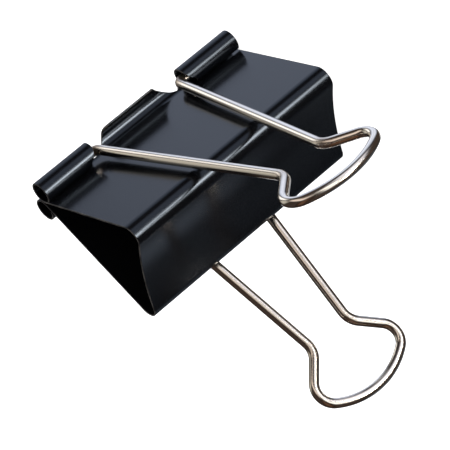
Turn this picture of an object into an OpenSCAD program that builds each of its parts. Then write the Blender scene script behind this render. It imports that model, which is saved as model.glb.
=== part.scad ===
/* Large binder clip: one folded spring-steel sheet and two bent wire handles.

   The clip stands on one end of the sheet. The sheet's profile lies in the XY plane and runs
   up along Z, the jaws face -Y, and the handles are folded back over the spine, towards +Y.
   The sheet is cut at its two rear bends, where the real one flexes as the jaws open. */

/* [Sheet] */
// Width of the sheet, which is the clip's nominal size
clip_w = 51; // [48:0.5:56]
// Thickness of the sheet
sheet_t = 0.4; // [0.3:0.05:0.5]
// Angle between each cheek and the middle plane
cheek_angle = 25.6; // [20:0.1:30]
// Flat length of each cheek, from the rolled edge to the rear bend
cheek_len = 27.3; // [22:0.1:34]
// Radius of the rear bends, at the middle of the sheet
bend_r = 2.43; // [1.5:0.01:3]
// Slope of the hollow spine where it meets each rear bend
spine_slope = 9.6; // [6:0.1:14]
// Gap between the two closed jaws
jaw_gap = 0.1; // [0.06:0.01:0.4]

/* [Rolled edges] */
// Outer radius of the rolled edge that holds a handle
roll_r = 2.37; // [2.2:0.01:2.6]
// How far the sheet is rolled round, from the clamping line
roll_turn = 292; // [250:1:294]
// Distance from the middle of the clip to the inner end of each roll
roll_start = 12.1; // [12.1:0.1:14]
// Distance to the inner end at the back of the roll, where the handle leaves it
roll_start_back = 13.4; // [13:0.1:15]
// Distance to the inner end at the root of the roll
roll_start_root = 12.5; // [12.2:0.1:14]
// How far the middle tab is rolled round
tab_turn = 130; // [90:1:170]
// Half width of the middle tab at its root
tab_root = 10.2; // [9:0.1:11]
// Half width of the middle tab halfway up
tab_waist = 7.8; // [7:0.1:8.5]
// Half width of the middle tab at its top edge
tab_tip = 5.6; // [4:0.1:7]

/* [Handles] */
// Wire diameter
wire_d = 2.1; // [1.4:0.1:2.1]
// Distance from the pivot to the middle of the wire at the tip
handle_len = 67.25; // [60:0.25:72]
// Half the distance between the arms where they leave the legs
arm_root = 10.85; // [10:0.05:10.85]
// Half the distance between the arms at the neck
neck_half = 4.75; // [4:0.05:6]
// Distance from the pivot to the neck
neck_at = 54.1; // [48:0.1:56]
// Angle at which the wire flares out beyond the neck
flare_angle = 44.4; // [35:0.1:50]
// Bend radius at the neck
neck_r = 4.1; // [3:0.1:5]
// Bend radius at the two corners of the finger loop
corner_r = 3.7; // [3:0.1:4.5]
// Radius of the round end of the finger loop
tip_r = 15.9; // [14:0.1:18]
// Bend radius between each leg and its arm
leg_bend_r = 1.6; // [1.4:0.1:2]
// Distance from the middle of the clip to the end of each leg
leg_end = 21; // [18:0.5:24]
// Angle of the left handle from the middle plane, folded back
left_rest = 25.3; // [24:0.1:120]
// Angle of the right handle from the middle plane, folded back
right_rest = 26.1; // [24:0.1:120]

/* [Hidden] */
$fn = 96;
sheet_color = "#16181c";
wire_color = "#c9c5bd";

// Small gap at each rear bend, so that the cut ends never touch
split_gap = 0.05;
half_w = clip_w / 2;
wire_r = wire_d / 2;

// Bends are a hair thinner than the straight wire, which laps into them
bend_thinning = 0.015;
bend_lap = 0.1;

// Length of a straight piece that is there only to lap two bends that meet
joint_len = 0.001;

// How far the notch cutters run past the sheet
cut_past = 1;

// Axis of the rolled edge, which is also the handle's pivot
roll_x = roll_r + jaw_gap / 2;

// The right cheek: the direction it runs in, its outward normal and its two ends
cheek_dir = [sin(cheek_angle), cos(cheek_angle)];
cheek_out = [cos(cheek_angle), -sin(cheek_angle)];
cheek_start = [roll_x, 0] - roll_r * cheek_out;
cheek_end = cheek_start + cheek_len * cheek_dir;

// Centre of the right rear bend
bend_c = cheek_end - (bend_r - sheet_t / 2) * cheek_out;

// The spine is an arc that bows inwards and meets both bends at spine_slope
spine_r = bend_c.x / sin(spine_slope) - bend_r;
spine_c = [0, bend_c.y + (bend_r + spine_r) * cos(spine_slope)];
split_turn = split_gap / spine_r * 180 / PI;

// Height of the middle tab's top edge above the clamping line
tab_h = roll_r * (1 - cos(tab_turn));

// Heights above the clamping line at which the tab narrows to its waist and to its shoulders
waist_h = 0.6 * roll_r;
shoulder_h = 1.4 * roll_r;
tab_shoulder = tab_waist - 0.5;

// Heights at which the inner end of a roll leaves its root, and at which its back is cut
root_h = 0.25 * roll_r;
side_h = 0.8 * roll_r;
back_low_h = 0.6 * roll_r;
back_high_h = 1.5 * roll_r;
over_roll = 2 * roll_r + cut_past;

// The front notch ends a little behind the pivot, and the back notch just short of the cheek
front_notch_end = 0.3 * roll_r;
back_notch_end = roll_r + 0.08;

// Middle of the whole clip, front to back, which is moved onto the origin
tip_y = handle_len * cos(left_rest) + wire_r;
mid_y = (tip_y - roll_r) / 2;

// The handle's outline: x along the clip's width, y away from the pivot
arm_lean = atan((arm_root - neck_half) / (neck_at - leg_bend_r));
arm_dir = [-sin(arm_lean), cos(arm_lean)];
arm_start = [arm_root + leg_bend_r * tan(arm_lean), 0];
neck = [neck_half, neck_at];
flare_dir = [sin(flare_angle), cos(flare_angle)];
flare_in = [-cos(flare_angle), sin(flare_angle)];
leg_cut = leg_bend_r / tan(45 + arm_lean / 2);
neck_cut = neck_r * tan((arm_lean + flare_angle) / 2);
leg_c = [arm_start.x + leg_cut, leg_bend_r];
neck_c = neck - neck_cut * arm_dir + neck_r * [cos(arm_lean), sin(arm_lean)];

// The corner bend touches the flare on its inner side and the tip arc from within
tip_c = [0, handle_len - tip_r];
corner_from_tip = neck + corner_r * flare_in - tip_c;
along = corner_from_tip * flare_dir;
reach = corner_from_tip * corner_from_tip - pow(tip_r - corner_r, 2);
flare_len = sqrt(along * along - reach) - along;
corner_c = neck + flare_len * flare_dir + corner_r * flare_in;
tip_from = atan2(corner_c.y - tip_c.y, corner_c.x - tip_c.x);
tip_start = tip_c + tip_r * [cos(tip_from), sin(tip_from)];
tip_dir = [-sin(tip_from), cos(tip_from)];

// A wedge that covers the angles from a0 to a1, well past radius r
module wedge(r, a0, a1) {
    steps = 6;
    step = (a1 - a0) / steps;
    polygon([[0, 0], for (i = [0 : steps]) 2 * r * [cos(a0 + step * i), sin(a0 + step * i)]]);
}

// The part of a sheet of thickness sheet_t, bent to mid radius r, from angle a0 to a1
module bent_strip(center, r, a0, a1) {
    translate(center)
        intersection() {
            difference() {
                circle(r = r + sheet_t / 2);
                circle(r = r - sheet_t / 2);
            }
            wedge(r + sheet_t, a0, a1);
        }
}

// The sheet's profile from the end of the roll to the cut at the rear bend, drawn with the
// cheek's inner face along x
module jaw_profile() {
    bent_strip([0, -roll_r], roll_r - sheet_t / 2, 90, 90 + cheek_angle + roll_turn);
    translate([0, -sheet_t])
        square([cheek_len, sheet_t]);
    bent_strip([cheek_len, bend_r - sheet_t / 2], bend_r, 270, 360 + cheek_angle + spine_slope);
}

// A prism that runs along y. Half its outline is given, as distance from the middle of the
// clip and height above the clamping line, and the other half mirrors it.
module along_y(side, y0, y1) {
    other_side = [for (i = [len(side) - 1 : -1 : 0]) [-side[i].x, side[i].y]];
    translate([roll_x - roll_r, y1, half_w])
        rotate([90, 0, 0])
            linear_extrude(height = y1 - y0)
                polygon([for (p = concat(side, other_side)) [p.y, p.x]]);
}

// The two notches beside the middle tab, and the space above the tab
module front_notch() {
    along_y([[roll_start, over_roll], [roll_start, side_h], [roll_start_root, root_h],
             [roll_start_root, -cut_past], [tab_root, -cut_past], [tab_root, 0],
             [tab_waist, waist_h], [tab_shoulder, shoulder_h], [tab_tip, tab_h]],
            -roll_r - cut_past, front_notch_end);
}

// The space behind the tab, from which the handle's arms come out
module back_notch() {
    along_y([[roll_start, over_roll], [roll_start_back, back_high_h], [roll_start_back, back_low_h]],
            0, back_notch_end);
}

module jaw() {
    translate([0, -mid_y, 0])
        difference() {
            translate(cheek_start)
                rotate([0, 0, 90 - cheek_angle])
                    linear_extrude(height = clip_w)
                        jaw_profile();
            front_notch();
            back_notch();
        }
}

// A straight length of wire, which laps a little into the bend at each end
module straight_wire(from, to) {
    run = to - from;
    length = norm(run) + 2 * bend_lap;
    translate(from - bend_lap * run / norm(run))
        rotate([90, 0, atan2(run.x, -run.y)])
            cylinder(r = wire_r, h = length);
}

// A bend, where the wire is drawn a hair thinner
module bent_wire(center, r, a0, a1) {
    translate(center)
        rotate([0, 0, a0])
            rotate_extrude(angle = a1 - a0)
                translate([r, 0])
                    circle(r = wire_r - bend_thinning);
}

// One side of the handle, from the end of its leg to the round end
module half_handle() {
    straight_wire([leg_end, 0], [leg_c.x, 0]);
    bent_wire(leg_c, leg_bend_r, 180 + arm_lean, 270);
    straight_wire(arm_start + leg_cut * arm_dir, neck - neck_cut * arm_dir);
    bent_wire(neck_c, neck_r, 180 - flare_angle, 180 + arm_lean);
    straight_wire(neck + neck_cut * flare_dir, neck + flare_len * flare_dir);
    bent_wire(corner_c, corner_r, -flare_angle, tip_from);
    straight_wire(tip_start, tip_start + joint_len * tip_dir);
}

// The right handle, turned by rest from the middle plane about its pivot
module handle(rest) {
    translate([roll_x, -mid_y, half_w])
        rotate([0, 0, -rest])
            rotate([0, -90, 0]) {
                half_handle();
                mirror([1, 0, 0])
                    half_handle();
                bent_wire(tip_c, tip_r, tip_from, 180 - tip_from);
            }
}

module spine_strip() {
    color(sheet_color)
        translate([0, -mid_y, 0])
            linear_extrude(height = clip_w)
                bent_strip(spine_c, spine_r, 270 - spine_slope + split_turn,
                           270 + spine_slope - split_turn);
}

module left_jaw() {
    color(sheet_color)
        mirror([1, 0, 0])
            jaw();
}

module right_jaw() {
    color(sheet_color)
        jaw();
}

module left_handle() {
    color(wire_color)
        mirror([1, 0, 0])
            handle(left_rest);
}

module right_handle() {
    color(wire_color)
        handle(right_rest);
}

spine_strip();
left_jaw();
right_jaw();
left_handle();
right_handle();
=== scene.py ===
import math

import bmesh
import bpy
from mathutils import Matrix, Vector


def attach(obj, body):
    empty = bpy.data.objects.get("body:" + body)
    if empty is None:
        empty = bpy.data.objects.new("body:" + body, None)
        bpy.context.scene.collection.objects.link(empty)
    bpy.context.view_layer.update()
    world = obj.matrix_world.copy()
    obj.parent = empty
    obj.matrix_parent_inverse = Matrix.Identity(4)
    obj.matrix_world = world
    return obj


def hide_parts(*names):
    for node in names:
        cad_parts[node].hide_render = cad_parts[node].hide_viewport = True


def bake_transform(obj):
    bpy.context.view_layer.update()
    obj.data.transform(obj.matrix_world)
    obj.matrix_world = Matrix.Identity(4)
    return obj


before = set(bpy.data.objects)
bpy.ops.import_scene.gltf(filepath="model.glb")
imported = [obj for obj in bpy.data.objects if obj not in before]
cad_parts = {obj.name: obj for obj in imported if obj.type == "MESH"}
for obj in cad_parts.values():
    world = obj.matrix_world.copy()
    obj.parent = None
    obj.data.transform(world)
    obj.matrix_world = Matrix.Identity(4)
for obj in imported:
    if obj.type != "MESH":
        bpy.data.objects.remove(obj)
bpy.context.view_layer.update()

# A large binder clip: one folded, enamelled spring-steel sheet and two bent nickel wire handles.
# Lengths of the object are in millimetres until a mesh is made. Those of the studio are in metres.
MM = 0.001

# ---------------------------------------------------------------- sizes, as in the CAD model

clip_w = 51.0
sheet_t = 0.4
cheek_angle = math.radians(25.6)
cheek_len = 27.3
bend_r = 2.43
spine_slope = math.radians(9.6)
roll_r = 2.37
jaw_gap = 0.1
roll_turn = 292.0

# The handles: from the hinge to the round end, and half widths from the middle of the clip
wire_r = 1.05
handle_len = 67.25
arm_root = 10.85
neck_half = 4.75
neck_at = 54.1
flare_angle = math.radians(44.4)
neck_r = 4.1
corner_r = 3.7
tip_r = 15.9
leg_bend_r = 1.6
leg_end = 21.0
left_rest = math.radians(25.3)
right_rest = math.radians(26.1)

half_w = clip_w / 2
roll_x = roll_r + jaw_gap / 2
mid_y = (handle_len * math.cos(left_rest) + wire_r - roll_r) / 2
roll_mid = roll_r - sheet_t / 2


def polar(angle, r=1.0):
    """A 2D vector of length r at an angle in radians."""
    return Vector((r * math.cos(angle), r * math.sin(angle)))


def direction(azimuth, elevation):
    """A 3D unit vector at two angles in radians."""
    return Vector((math.cos(elevation) * math.cos(azimuth),
                   math.cos(elevation) * math.sin(azimuth), math.sin(elevation)))


def mix(a, b, t):
    return a + (b - a) * t


def smooth(t):
    """Eases from 0 to 1 as t does, and stays there outside."""
    t = min(max(t, 0.0), 1.0)
    return t * t * (3 - 2 * t)


# ---------------------------------------------------------------- the sheet's profile

cheek_dir = Vector((math.sin(cheek_angle), math.cos(cheek_angle)))
cheek_out = Vector((math.cos(cheek_angle), -math.sin(cheek_angle)))
roll_c = Vector((roll_x, 0))
cheek_start = roll_c - roll_r * cheek_out
cheek_end = cheek_start + cheek_len * cheek_dir
bend_c = cheek_end - (bend_r - sheet_t / 2) * cheek_out
bend_turn = math.pi / 2 + cheek_angle + spine_slope
spine_r = bend_c.x / math.sin(spine_slope) - bend_r
spine_c = Vector((0, bend_c.y + (bend_r + spine_r) * math.cos(spine_slope)))

# Distances along the sheet from where the roll ends: to the end of the bend, and to the middle of
# the spine
bend_s = cheek_len + bend_r * bend_turn
end_s = bend_s + spine_r * spine_slope


def arc_to_s(arc):
    """Distance along the sheet at an angle round the roll: 0 is the clamping line, 90 the front."""
    return -roll_mid * (math.radians(arc) + cheek_angle)


def profile(s):
    """Middle of the right half's sheet, and its outward normal, at s along it."""
    if s < 0:
        arc = -s / roll_mid - cheek_angle
        away = Vector((-math.cos(arc), -math.sin(arc)))
        return roll_c + roll_mid * away, -away
    if s <= cheek_len:
        return cheek_start + sheet_t / 2 * cheek_out + s * cheek_dir, cheek_out.copy()
    if s <= bend_s:
        out = polar((s - cheek_len) / bend_r - cheek_angle)
        return bend_c + bend_r * out, out
    out = polar(math.pi / 2 + spine_slope - (s - bend_s) / spine_r)
    return spine_c - spine_r * out, out


# ---------------------------------------------------------------- the sheet's outline

# Half widths from the middle of the clip, and the angle round the roll that each is at. The tab's
# two sides aren't quite alike, and the rolled edges start where the notches beside the tab end.
tab_side = [(6.2, 128), (6.75, 120), (7.15, 108), (7.5, 90), (7.85, 70), (8.4, 48), (9.0, 30),
            (9.6, 17), (10.15, 10), (10.6, 6.4), (11.05, 4.2), (11.5, 3.5)]
tab_side_far = [(5.75, 128), (6.1, 119), (6.45, 106), (6.85, 88), (7.7, 63), (8.3, 48), (9.0, 31),
                (9.6, 19), (10.15, 11.5), (10.6, 7.2), (11.05, 4.5), (11.5, 3.5)]
roll_side = [(14.2, roll_turn), (14.05, 268), (13.6, 253), (13.1, 243), (12.75, 230), (12.4, 215),
             (12.2, 200), (12.12, 186), (12.1, 160), (12.1, 128), (12.12, 105), (12.15, 84),
             (12.2, 62), (12.25, 42), (12.2, 27), (12.1, 14), (11.97, 7.5), (11.8, 4.3),
             (11.5, 3.5)]
tab_top = 131.5
notch_s = arc_to_s(3.5)

# Rows and columns of the mesh. The body's rows go from the notches over the cheek, bend and spine.
CURVE_STEPS = 24
TAB_ROWS, TAB_COLS = 44, 12
ROLL_ROWS, ROLL_COLS = 96, 16
BODY_ROWS = ((notch_s, 0, 4), (0, cheek_len, 20), (cheek_len, bend_s, 44), (bend_s, end_s, 16))

# How soon a roll's rows straighten out, away from its shaped side
roll_ease = 1.6


def curve_through(points, count):
    """count + 1 even points on a smooth curve through (half width, angle) points, as (w, s)."""
    pts = [Vector((w, arc_to_s(a))) for w, a in points]
    pts = [2 * pts[0] - pts[1]] + pts + [2 * pts[-1] - pts[-2]]
    fine = []
    for k in range(1, len(pts) - 2):
        p0, p1, p2, p3 = pts[k - 1:k + 3]
        for i in range(CURVE_STEPS):
            t = i / CURVE_STEPS
            fine.append(0.5 * (2 * p1 + (p2 - p0) * t + (2 * p0 - 5 * p1 + 4 * p2 - p3) * t * t
                               + (3 * p1 - p0 - 3 * p2 + p3) * t ** 3))
    fine.append(pts[-2])
    dist = [0.0]
    for a, b in zip(fine, fine[1:]):
        dist.append(dist[-1] + (b - a).length)
    out, k = [], 0
    for i in range(count + 1):
        want = dist[-1] * i / count
        while k < len(dist) - 2 and dist[k + 1] < want:
            k += 1
        span = max(dist[k + 1] - dist[k], 1e-9)
        out.append(fine[k].lerp(fine[k + 1], min(max((want - dist[k]) / span, 0.0), 1.0)))
    return out


def tab_rows():
    """The tab's rows of (w, s) points, from its top to the notches. They bow down to its sides."""
    rows = []
    sides = zip(curve_through(tab_side_far, TAB_ROWS), curve_through(tab_side, TAB_ROWS))
    for i, (far, near) in enumerate(sides):
        mid_s = mix(arc_to_s(tab_top), notch_s, i / TAB_ROWS)
        row = []
        for j in range(-TAB_COLS, TAB_COLS + 1):
            q = abs(j) / TAB_COLS
            side = far if j < 0 else near
            bow = 1 - math.cos(math.pi / 2 * q ** 3) if i < TAB_ROWS // 2 else q * q
            row.append(Vector((side.x * j / TAB_COLS, mix(mid_s, side.y, bow))))
        rows.append(row)
    return rows


def roll_rows():
    """One roll's rows of (w, s) points, from its free end to the notch."""
    rows = []
    for i, side in enumerate(curve_through(roll_side, ROLL_ROWS)):
        row_s = mix(arc_to_s(roll_turn), notch_s, i / ROLL_ROWS)
        row = []
        for j in range(ROLL_COLS + 1):
            q = j / ROLL_COLS
            row.append(Vector((mix(side.x, half_w, q), mix(side.y, row_s, smooth(q * roll_ease)))))
        rows.append(row)
    return rows


def body_rows(tab_foot, roll_foot):
    """The rows from the notches to the spine's middle, with columns that meet the tab and rolls."""
    outer = [p.x for p in roll_foot][1:]
    cols = [-w for w in reversed(outer)] + [p.x for p in tab_foot] + outer
    stops = [notch_s]
    for s0, s1, count in BODY_ROWS:
        stops += [mix(s0, s1, i / count) for i in range(1, count + 1)]
    return [[Vector((w, s)) for w in cols] for s in stops]


# The cut edge is a rounded shear: how far it stands out from the flat faces
edge_round = 0.13
EDGE_STEPS = 6


def round_the_end(rows):
    """The ids round a tab or roll: up one side, along its free end and down the other side."""
    return [row[0] for row in reversed(rows[:-1])] + rows[0][1:] + [row[-1] for row in rows[1:]]


def build_sheet(name, side):
    """Half the sheet, from the spine's middle to the rolls. side is 1 for right, -1 for left."""
    tab, roll = tab_rows(), roll_rows()
    body = body_rows(tab[-1], roll[-1])
    points = []

    def new_ids(row):
        points.extend(row)
        return list(range(len(points) - len(row), len(points)))

    # The tab and the rolls share the body's first row
    body_ids = [new_ids(row) for row in body]
    tab_ids = [new_ids(row) for row in tab[:-1]]
    tab_ids.append(body_ids[0][ROLL_COLS:ROLL_COLS + 2 * TAB_COLS + 1])
    high_ids = [new_ids(row) for row in roll[:-1]]
    high_ids.append(body_ids[0][ROLL_COLS + 2 * TAB_COLS:])
    low_ids = [new_ids([Vector((-p.x, p.y)) for p in reversed(row)]) for row in roll[:-1]]
    low_ids.append(body_ids[0][:ROLL_COLS + 1])

    # The free edge, from the spine's middle round the rolls and the tab and back to the spine
    loop = [row[0] for row in reversed(body_ids)]
    for rows in (low_ids, tab_ids, high_ids):
        loop += round_the_end(rows)
    loop += [row[-1] for row in body_ids[1:]]

    mids, norms = [], []
    for p in points:
        m, n = profile(p.y)
        mids.append(Vector((side * m.x, m.y - mid_y, half_w + p.x)))
        norms.append(Vector((side * n.x, n.y, 0)))

    # Pull the free edge in, so that its rounded rim ends where the real edge is
    edge_dir = {}
    for before, v, after in zip(loop[:1] + loop, loop, loop[1:] + loop[-1:]):
        t = (points[after] - points[before]).normalized()
        n = norms[v]
        edge_dir[v] = Vector((side * n.y * t.x, -side * n.x * t.x, t.y))
        mids[v] -= edge_round * edge_dir[v]

    # The outer face, then the inner face. The two halves list their faces in mirrored order, and
    # facing() turns them outwards in the end.
    verts = [m + sheet_t / 2 * n for m, n in zip(mids, norms)]
    verts += [m - sheet_t / 2 * n for m, n in zip(mids, norms)]
    normals = norms + [-n for n in norms]
    inner = len(points)
    faces = []
    for rows in (body_ids, tab_ids, high_ids, low_ids):
        for r0, r1 in zip(rows, rows[1:]):
            for quad in zip(r0, r0[1:], r1[1:], r1):
                faces += [quad[::side], tuple(inner + v for v in quad)[::-side]]

    # The rounded rim along the free edge
    first_rim = len(verts)
    rims = []
    for v in loop:
        rim = [v]
        for i in range(1, EDGE_STEPS):
            a = math.pi * i / EDGE_STEPS
            rim.append(len(verts))
            verts.append(mids[v] + sheet_t / 2 * math.cos(a) * norms[v]
                         + edge_round * math.sin(a) * edge_dir[v])
            normals.append((norms[v] * math.cos(a) / sheet_t * 2
                            + edge_dir[v] * math.sin(a) / edge_round).normalized())
        rims.append(rim + [inner + v])
    for r0, r1 in zip(rims, rims[1:]):
        faces += [quad[::side] for quad in zip(r0, r0[1:], r1[1:], r1)]

    # The flat cut across the middle of the spine, which meets the other half's
    first_cut = len(faces)
    cut_normal = Vector((-side, 0, 0))
    for a, b in zip(body_ids[-1], body_ids[-1][1:]):
        faces.append((a, b, inner + b, inner + a)[::side])
    faces += [tuple(rims[0])[::-side], tuple(rims[-1])[::side]]

    for i, face in enumerate(faces):
        want = cut_normal if i >= first_cut else sum((normals[v] for v in face), Vector())
        faces[i] = facing(verts, face, want)
    mesh = make_mesh(name, verts, faces)
    mesh.normals_split_custom_set([tuple(cut_normal if poly.index >= first_cut else normals[v])
                                   for poly in mesh.polygons for v in poly.vertices])
    add_weights(mesh, "rim", [1.0 if v >= first_rim else 0.0 for v in range(len(verts))])
    return new_object(name, mesh)


def facing(verts, face, want):
    """The face, turned over if it looks away from the normal it should have."""
    a, b, c = (verts[face[i * len(face) // 3]] for i in range(3))
    return face if (b - a).cross(c - a).dot(want) > 0 else face[::-1]


def make_mesh(name, verts, faces):
    """A smooth mesh in metres, from points in millimetres."""
    mesh = bpy.data.meshes.new(name)
    mesh.from_pydata([v * MM for v in verts], [], faces)
    mesh.polygons.foreach_set("use_smooth", [True] * len(mesh.polygons))
    mesh.update()
    return mesh


def add_weights(mesh, name, weights):
    """A number from 0 to 1 on each vertex, which a material reads by name."""
    layer = mesh.attributes.new(name, "FLOAT", "POINT")
    layer.data.foreach_set("value", weights)


def new_object(name, data):
    obj = bpy.data.objects.new(name, data)
    bpy.context.scene.collection.objects.link(obj)
    return obj


# ---------------------------------------------------------------- the handles

arm_lean = math.atan((arm_root - neck_half) / (neck_at - leg_bend_r))
arm_dir = Vector((-math.sin(arm_lean), math.cos(arm_lean)))
arm_start = Vector((arm_root + leg_bend_r * math.tan(arm_lean), 0))
neck = Vector((neck_half, neck_at))
flare_dir = Vector((math.sin(flare_angle), math.cos(flare_angle)))
flare_in = Vector((-math.cos(flare_angle), math.sin(flare_angle)))
leg_cut = leg_bend_r / math.tan(math.pi / 4 + arm_lean / 2)
neck_cut = neck_r * math.tan((arm_lean + flare_angle) / 2)
leg_c = Vector((arm_start.x + leg_cut, leg_bend_r))
neck_c = neck - neck_cut * arm_dir + neck_r * Vector((math.cos(arm_lean), math.sin(arm_lean)))
tip_c = Vector((0, handle_len - tip_r))

# The flare is as long as it takes for the corner's arc to touch the round end's
corner_from_tip = neck + corner_r * flare_in - tip_c
ahead = corner_from_tip.dot(flare_dir)
short_by = corner_from_tip.dot(corner_from_tip) - (tip_r - corner_r) ** 2
flare_len = math.sqrt(ahead * ahead - short_by) - ahead
corner_c = neck + flare_len * flare_dir + corner_r * flare_in
tip_from = math.atan2(corner_c.y - tip_c.y, corner_c.x - tip_c.x)


def arc_points(center, r, a0, a1, step):
    """Points about step apart on an arc, with the tangent at each, both ends included."""
    n = max(4, int(abs(a1 - a0) * r / step))
    sign = 1 if a1 > a0 else -1
    out = []
    for i in range(n + 1):
        a = mix(a0, a1, i / n)
        out.append((center + polar(a, r), sign * polar(a + math.pi / 2)))
    return out


def line_points(a, b, step):
    """Points about step apart, strictly between a and b, with the tangent at each."""
    n = max(2, int((b - a).length / step))
    t = (b - a).normalized()
    return [(a.lerp(b, i / n), t) for i in range(1, n)]


def half_path():
    """The wire's centreline from the end of one leg to the middle of the round end."""
    pi = math.pi
    leg_tip = Vector((leg_end, 0))
    path = [(leg_tip, Vector((-1, 0)))]
    path += line_points(leg_tip, Vector((leg_c.x, 0)), step=1.5)
    path += arc_points(leg_c, leg_bend_r, 1.5 * pi, pi + arm_lean, step=0.16)
    path += line_points(arm_start + leg_cut * arm_dir, neck - neck_cut * arm_dir, step=1.0)
    path += arc_points(neck_c, neck_r, pi + arm_lean, pi - flare_angle, step=0.25)
    path += line_points(neck + neck_cut * flare_dir, neck + flare_len * flare_dir, step=0.5)
    path += arc_points(corner_c, corner_r, -flare_angle, tip_from, step=0.3)
    path += arc_points(tip_c, tip_r, tip_from, pi / 2, step=0.6)[1:]
    return path


WIRE_SIDES = 40
DOME_STEPS = 5

# How far the legs' round tips stand out, and how far from the pole the first ring is, in steps
leg_dome = 0.35
pole_step = 0.35

# The wire is drawn this much thinner than the CAD model's, so that it stays inside it
wire_inset = 0.02

# How far from a sharp bend its tool marks reach, and how strong they are at the necks
mark_reach = 3.6
neck_marks = 0.6


def dome_rings(tip, into):
    """A leg's domed end as rings (middle, share of the full radius), from its pole to the full
    ring. into is the way from the tip into the wire."""
    rings = []
    for k in range(DOME_STEPS + 1):
        a = math.pi / 2 * (k + pole_step) / (DOME_STEPS + pole_step)
        rings.append((tip + into * leg_dome * (1 - math.cos(a)), math.sin(a)))
    return rings


def build_wire(name, side, rest):
    """A bent wire handle with domed leg ends. side is 1 for right, -1 for left."""
    half = half_path()
    path = half + [(Vector((-p.x, p.y)), Vector((t.x, -t.y))) for p, t in reversed(half[:-1])]
    (tip0, t0), (tip1, t1) = path[0], path[-1]
    stations = [(p, t0, share) for p, share in dome_rings(tip0, t0)]
    stations += [(p, t, 1.0) for p, t in path[1:-1]]
    stations += [(p, t1, share) for p, share in reversed(dome_rings(tip1, -t1))]

    fold = Vector((side * math.sin(rest), math.cos(rest), 0))
    across = Vector((0, 0, 1))
    lift = across.cross(fold)
    origin = Vector((side * roll_x, -mid_y, half_w))

    # Rings of vertex ids, each with its distance along the wire in metres
    verts, rings = [], []
    run, last = 0.0, None
    for p, t, share in stations:
        c = origin + across * p.x + fold * p.y
        run += (c - last).length if last is not None else 0.0
        last = c
        tangent = across * t.x + fold * t.y
        sideways = tangent.cross(lift).normalized()
        rings.append((range(len(verts), len(verts) + WIRE_SIDES), run * MM))
        for i in range(WIRE_SIDES):
            turn = 2 * math.pi * i / WIRE_SIDES
            out = lift * math.cos(turn) + sideways * math.sin(turn)
            verts.append(c + out * (wire_r - wire_inset) * share)

    faces, uvs = [], []
    for (r0, v0), (r1, v1) in zip(rings, rings[1:]):
        for i in range(WIRE_SIDES):
            j = (i + 1) % WIRE_SIDES
            u0, u1 = i / WIRE_SIDES, (i + 1) / WIRE_SIDES
            faces.append((r0[i], r1[i], r1[j], r0[j]))
            uvs.append([(u0, v0), (u0, v1), (u1, v1), (u1, v0)])
    faces += [tuple(rings[0][0]), tuple(reversed(rings[-1][0]))]
    uvs += [[(i / WIRE_SIDES, v) for i in range(WIRE_SIDES)] for v in (0.0, rings[-1][1])]

    mesh = make_mesh(name, verts, faces)
    layer = mesh.uv_layers.new(name="along")
    for poly in mesh.polygons:
        for loop_i, uv in zip(poly.loop_indices, uvs[poly.index]):
            layer.data[loop_i].uv = uv
    face_outwards(mesh)

    # How much the wire was worked: most where the arms leave the legs, and less at the necks
    worked = []
    for p, _, _ in stations:
        q = Vector((abs(p.x), p.y))
        near_neck = max(0.0, 1 - (q - neck).length / mark_reach)
        near_leg = max(0.0, 1 - (q - arm_start).length / mark_reach)
        worked += [smooth(max(neck_marks * near_neck, near_leg))] * WIRE_SIDES
    add_weights(mesh, "bent", worked)
    return new_object(name, mesh)


def face_outwards(mesh):
    """Makes every face of a closed mesh point outwards."""
    bm = bmesh.new()
    bm.from_mesh(mesh)
    bmesh.ops.recalc_face_normals(bm, faces=bm.faces)
    bm.to_mesh(mesh)
    bm.free()


# ---------------------------------------------------------------- materials

def node_material(name):
    mat = bpy.data.materials.new(name)
    mat.use_nodes = True
    nt = mat.node_tree
    return mat, nt, nt.nodes["Principled BSDF"]


def add(nt, kind, inputs=None, **settings):
    """A node with its settings, and its inputs given as values or as sockets to link."""
    node = nt.nodes.new(kind)
    for key, value in settings.items():
        setattr(node, key, value)
    for key, value in (inputs or {}).items():
        if isinstance(value, bpy.types.NodeSocket):
            nt.links.new(value, node.inputs[key])
        else:
            node.inputs[key].default_value = value
    return node


def noise_field(nt, vector, scale, detail, low, high):
    """Noise over the given coordinates, spread out so that it runs from 0 at low to 1 at high."""
    field = add(nt, "ShaderNodeTexNoise", {"Vector": vector, "Scale": scale, "Detail": detail})
    return add(nt, "ShaderNodeMapRange", {"Value": field.outputs["Fac"], "From Min": low,
                                          "From Max": high}).outputs["Result"]


def spread(nt, value, low, high):
    """Maps 0 to 1 on to low to high."""
    return add(nt, "ShaderNodeMapRange", {"Value": value, "To Min": low,
                                          "To Max": high}).outputs["Result"]


def color_mix(nt, amount, a, b):
    """A colour from a to b, each of them a colour or a socket."""
    node = add(nt, "ShaderNodeMix", {"Factor": amount}, data_type="RGBA")
    for socket, value in ((node.inputs[6], a), (node.inputs[7], b)):
        if isinstance(value, bpy.types.NodeSocket):
            nt.links.new(value, socket)
        else:
            socket.default_value = (*value, 1)
    return node.outputs[2]


def math_node(nt, operation, a, b=0.0):
    return add(nt, "ShaderNodeMath", {0: a, 1: b}, operation=operation).outputs[0]


def bump_node(nt, height, strength, distance):
    """A bump of the given depth in metres."""
    return add(nt, "ShaderNodeBump", {"Height": height, "Strength": strength,
                                      "Distance": distance}).outputs[0]


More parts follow.
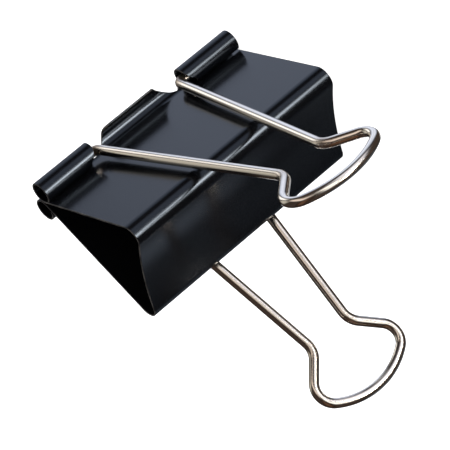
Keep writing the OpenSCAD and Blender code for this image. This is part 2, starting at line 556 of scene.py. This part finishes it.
def enamel_material():
    """Glossy black enamel: faint orange peel, uneven gloss, thin and dull on the cut edges."""
    mat, nt, bsdf = node_material("black_enamel")
    place = add(nt, "ShaderNodeTexCoord").outputs["Object"]
    rim = add(nt, "ShaderNodeAttribute", attribute_name="rim").outputs["Fac"]
    cloud = noise_field(nt, place, 70, 3, 0.3, 0.7)
    grain = noise_field(nt, place, 1500, 2, 0.3, 0.7)
    chips = noise_field(nt, place, 700, 4, 0.42, 0.66)
    peel = noise_field(nt, place, 520, 1, 0.2, 0.8)

    paint = color_mix(nt, cloud, (0.0014, 0.0016, 0.0022), (0.0024, 0.0026, 0.0033))
    worn = math_node(nt, "MULTIPLY", rim, spread(nt, chips, 0.2, 1.0))
    color = color_mix(nt, worn, paint, (0.07, 0.065, 0.06))
    rough = math_node(nt, "ADD", spread(nt, cloud, 0.170, 0.194), spread(nt, grain, -0.006, 0.006))
    rough = math_node(nt, "ADD", rough, spread(nt, rim, 0.0, 0.10))

    nt.links.new(color, bsdf.inputs["Base Color"])
    nt.links.new(rough, bsdf.inputs["Roughness"])
    nt.links.new(bump_node(nt, peel, 0.14, 0.000006), bsdf.inputs["Normal"])
    bsdf.inputs["IOR"].default_value = 1.46
    bsdf.inputs["Specular Tint"].default_value = (0.68, 0.82, 1.0, 1)
    return mat


# How fine the wire's streaks are round it, and how short along it, per metre
streak_round = 4.0
streak_along = 22.0


def wire_skin(nt):
    """Coordinates round and along the wire, in which noise is drawn out into lengthwise streaks."""
    uv = add(nt, "ShaderNodeUVMap", uv_map="along").outputs[0]
    split = add(nt, "ShaderNodeSeparateXYZ", {0: uv})
    turn = math_node(nt, "MULTIPLY", split.outputs["X"], 2 * math.pi)
    around = [math_node(nt, "MULTIPLY", math_node(nt, kind, turn), streak_round)
              for kind in ("COSINE", "SINE")]
    length = math_node(nt, "MULTIPLY", split.outputs["Y"], streak_along)
    return add(nt, "ShaderNodeCombineXYZ", {0: around[0], 1: around[1], 2: length}).outputs[0]


def nickel_material():
    """Drawn wire under bright nickel: lengthwise streaks, and duller, browner where it was bent."""
    mat, nt, bsdf = node_material("nickel_wire")
    place = add(nt, "ShaderNodeTexCoord").outputs["Object"]
    bent = add(nt, "ShaderNodeAttribute", attribute_name="bent").outputs["Fac"]
    streaks = noise_field(nt, wire_skin(nt), 1.6, 2, 0.3, 0.7)
    cloud = noise_field(nt, place, 110, 3, 0.3, 0.7)
    pits = noise_field(nt, place, 1100, 3, 0.66, 0.80)
    stain = math_node(nt, "MULTIPLY", bent, spread(nt, cloud, 0.25, 1.0))

    color = color_mix(nt, streaks, (0.84, 0.785, 0.71), (0.92, 0.875, 0.81))
    color = color_mix(nt, pits, color, (0.74, 0.67, 0.60))
    color = color_mix(nt, stain, color, (0.40, 0.30, 0.21))
    rough = math_node(nt, "ADD", spread(nt, streaks, 0.19, 0.14), spread(nt, cloud, -0.015, 0.025))
    rough = math_node(nt, "ADD", rough, spread(nt, stain, 0.0, 0.26))

    nt.links.new(color, bsdf.inputs["Base Color"])
    nt.links.new(rough, bsdf.inputs["Roughness"])
    nt.links.new(bump_node(nt, streaks, 0.15, 0.000008), bsdf.inputs["Normal"])
    bsdf.inputs["Metallic"].default_value = 1.0
    return mat


enamel = enamel_material()
nickel = nickel_material()

# ---------------------------------------------------------------- the object

sheet_left = build_sheet("sheet_left", -1)
sheet_right = build_sheet("sheet_right", 1)
wire_left = build_wire("wire_left", -1, left_rest)
wire_right = build_wire("wire_right", 1, right_rest)
for obj in (sheet_left, sheet_right):
    obj.data.materials.append(enamel)
for obj in (wire_left, wire_right):
    obj.data.materials.append(nickel)


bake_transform(sheet_left)
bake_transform(sheet_right)
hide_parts("left_jaw", "spine_strip")
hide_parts("right_jaw")
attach(wire_left, "left_handle")
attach(wire_right, "right_handle")
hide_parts("left_handle")
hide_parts("right_handle")

# ---------------------------------------------------------------- floor and light

scene = bpy.context.scene
scene.view_settings.view_transform = "Standard"

world = bpy.data.worlds.new("studio")
scene.world = world
world.use_nodes = True
sky = world.node_tree.nodes["Background"]
sky.inputs["Color"].default_value = (0.93, 0.95, 0.97, 1)
sky.inputs["Strength"].default_value = 0.95
world.cycles_visibility.glossy = False

stand_at = Vector((0, 0, half_w * MM))
floor_half = 3.0
ROOM_RINGS, ROOM_SIDES = 12, 24


def flat_card(name, corners):
    """A rectangle through four corners in metres, with a UV map."""
    mesh = bpy.data.meshes.new(name)
    mesh.from_pydata(corners, [], [(0, 1, 2, 3)])
    layer = mesh.uv_layers.new(name="card")
    for i, uv in enumerate(((0, 0), (1, 0), (1, 1), (0, 1))):
        layer.data[i].uv = uv
    return mesh


def glow_material(name, color, strength, soft_edge=0.0):
    """A plain glowing cloth, dimmer towards its edges where soft_edge is above 0."""
    mat = bpy.data.materials.new(name)
    mat.use_nodes = True
    nt = mat.node_tree
    nt.nodes.clear()
    if soft_edge > 0:
        uv = add(nt, "ShaderNodeTexCoord").outputs["UV"]
        split = add(nt, "ShaderNodeSeparateXYZ", {0: uv})
        for axis in ("X", "Y"):
            for dark, lit in ((0, soft_edge), (1, 1 - soft_edge)):
                ends = {"Value": split.outputs[axis], "From Min": dark, "From Max": lit}
                fall = add(nt, "ShaderNodeMapRange", ends, interpolation_type="SMOOTHSTEP")
                strength = math_node(nt, "MULTIPLY", fall.outputs["Result"], strength)
    glow = add(nt, "ShaderNodeEmission", {"Color": (*color, 1), "Strength": strength})
    add(nt, "ShaderNodeOutputMaterial", {"Surface": glow.outputs[0]})
    return mat


def softbox(name, azimuth, elevation, distance, wide, tall, strength, color=(1, 1, 1),
            soft_edge=0.25, tilt=0.0):
    """A glowing card that faces the clip, at two angles in degrees and a distance in metres. wide
    and tall are in degrees as the clip sees it, and it leans over by tilt degrees. It lights the
    clip and shows in reflections, and the camera doesn't see it."""
    az, lean = math.radians(azimuth), math.radians(tilt)
    way = direction(az, math.radians(elevation))
    level_way = Vector((-math.sin(az), math.cos(az), 0))
    up_way = way.cross(level_way)
    u = math.cos(lean) * level_way + math.sin(lean) * up_way
    v = math.cos(lean) * up_way - math.sin(lean) * level_way
    u = u * distance * math.tan(math.radians(wide / 2))
    v = v * distance * math.tan(math.radians(tall / 2))
    c = stand_at + way * distance
    obj = new_object(name, flat_card(name, [c - u - v, c + u - v, c + u + v, c - u + v]))
    obj.data.materials.append(glow_material(name, color, strength, soft_edge))
    obj.visible_camera = False
    obj.visible_shadow = False


def room(name, radius, color, strength):
    """A dim room round the clip, which only the shiny surfaces see."""
    verts, faces = [], []
    for i in range(ROOM_RINGS + 1):
        for j in range(ROOM_SIDES):
            verts.append(radius * direction(2 * math.pi * j / ROOM_SIDES,
                                            math.pi * (i / ROOM_RINGS - 0.5)))
    for i in range(ROOM_RINGS):
        low, high = i * ROOM_SIDES, (i + 1) * ROOM_SIDES
        for j in range(ROOM_SIDES):
            k = (j + 1) % ROOM_SIDES
            faces.append((low + j, high + j, high + k, low + k))
    mesh = bpy.data.meshes.new(name)
    mesh.from_pydata(verts, [], faces)
    mesh.materials.append(glow_material(name, color, strength))
    obj = new_object(name, mesh)
    obj.visible_camera = False
    obj.visible_diffuse = False
    obj.visible_shadow = False


floor = new_object("floor", flat_card("floor", [(x * floor_half, y * floor_half, 0) for x, y in
                                                ((-1, -1), (1, -1), (1, 1), (-1, 1))]))
floor_mat, _, floor_bsdf = node_material("white_floor")
floor_bsdf.inputs["Base Color"].default_value = (0.95, 0.95, 0.95, 1)
floor_bsdf.inputs["Emission Color"].default_value = (1, 1, 1, 1)
floor_bsdf.inputs["Emission Strength"].default_value = 0.9
floor.data.materials.append(floor_mat)
floor.visible_glossy = False
floor.visible_shadow = False

room("room", 5.0, (1.0, 0.70, 0.58), 0.046)

# Each card's azimuth, elevation, distance, width and height, strength, colour, soft edge and tilt.
# The cheeks mirror the front cards:
softbox("front_box", 259, -37, 0.70, 76, 66, 0.98, (0.84, 0.92, 1.12), 0.35)
softbox("front_top", 264, 7, 0.70, 50, 32, 1.35, (1.0, 0.98, 0.96), 0.35)
softbox("front_warm", 272, 38, 0.80, 74, 44, 0.55, (1.0, 0.94, 0.83), 0.4)
# The strip is the narrow highlight along the rolls, the tab and the rear bend. The cards about it
# fill in the bands on the wires:
softbox("tan_card", 183, 33, 0.16, 86, 30, 0.9, (1.0, 0.85, 0.75), 0.3)
softbox("rear_strip", 129, -20.5, 0.36, 14, 54, 33.0, (1.1, 1.02, 0.93), 0.5, 64)
softbox("rear_box", 163, -27, 0.80, 70, 54, 0.95, (1.03, 1.02, 1.13), 0.3)
softbox("rear_top", 138, 3, 0.80, 84, 34, 1.35, (1.0, 0.97, 0.93), 0.35)
softbox("side_box", 338, -50, 0.80, 34, 34, 0.95)
softbox("brown_card", 85, 48, 0.60, 90, 40, 0.11, (1.0, 0.52, 0.32), 0.35)
# The spine mirrors the low cards, and the side card is for the views from the other side:
softbox("low_patch", 24, -16, 0.30, 18, 24, 0.45, (0.9, 1.0, 1.15), 0.4)
softbox("side_card", 327, -20, 0.70, 62, 58, 1.0, (0.94, 0.98, 1.05), 0.35)
softbox("low_glow", 28, -32, 0.40, 62, 60, 0.10, (0.9, 1.0, 1.1), 0.3)

# Two big soft lamps overhead. The cards above are all that the shiny surfaces see of the studio.
lamp_size = 0.8
lamps = (("key_lamp", (-0.5, -0.6, 0.9), 4.0), ("fill_lamp", (0.7, 0.5, 0.8), 2.5))
for name, place, watts in lamps:
    lamp_data = bpy.data.lights.new(name, "AREA")
    lamp_data.size = lamp_size
    lamp_data.energy = watts
    lamp = new_object(name, lamp_data)
    lamp.location = place
    lamp.rotation_euler = (stand_at - Vector(place)).to_track_quat("-Z", "Y").to_euler()
    lamp.visible_glossy = False

# ---------------------------------------------------------------- the photo's camera

# Where it looks, how it is rolled, and from how far
view_azimuth = math.radians(-34.384)
view_elevation = math.radians(-22.301)
view_roll = math.radians(-130.07)
view_distance = 0.59
view_lens = 245.35
aim = Vector((0.01196, (22.935 - mid_y) * MM, 0.02659))

forward = direction(view_azimuth, view_elevation)
sideways = forward.cross(Vector((0, 0, 1))).normalized()
upright = sideways.cross(forward)
right = math.cos(view_roll) * sideways + math.sin(view_roll) * upright
up = math.cos(view_roll) * upright - math.sin(view_roll) * sideways
camera_data = bpy.data.cameras.new("camera")
camera_data.lens = view_lens
camera_data.sensor_width = 36
camera_data.clip_start = 0.01
camera_data.clip_end = 20
camera = new_object("camera", camera_data)
axes = Matrix((right, up, -forward)).transposed()
camera.matrix_world = Matrix.Translation(aim - view_distance * forward) @ axes.to_4x4()
scene.camera = camera
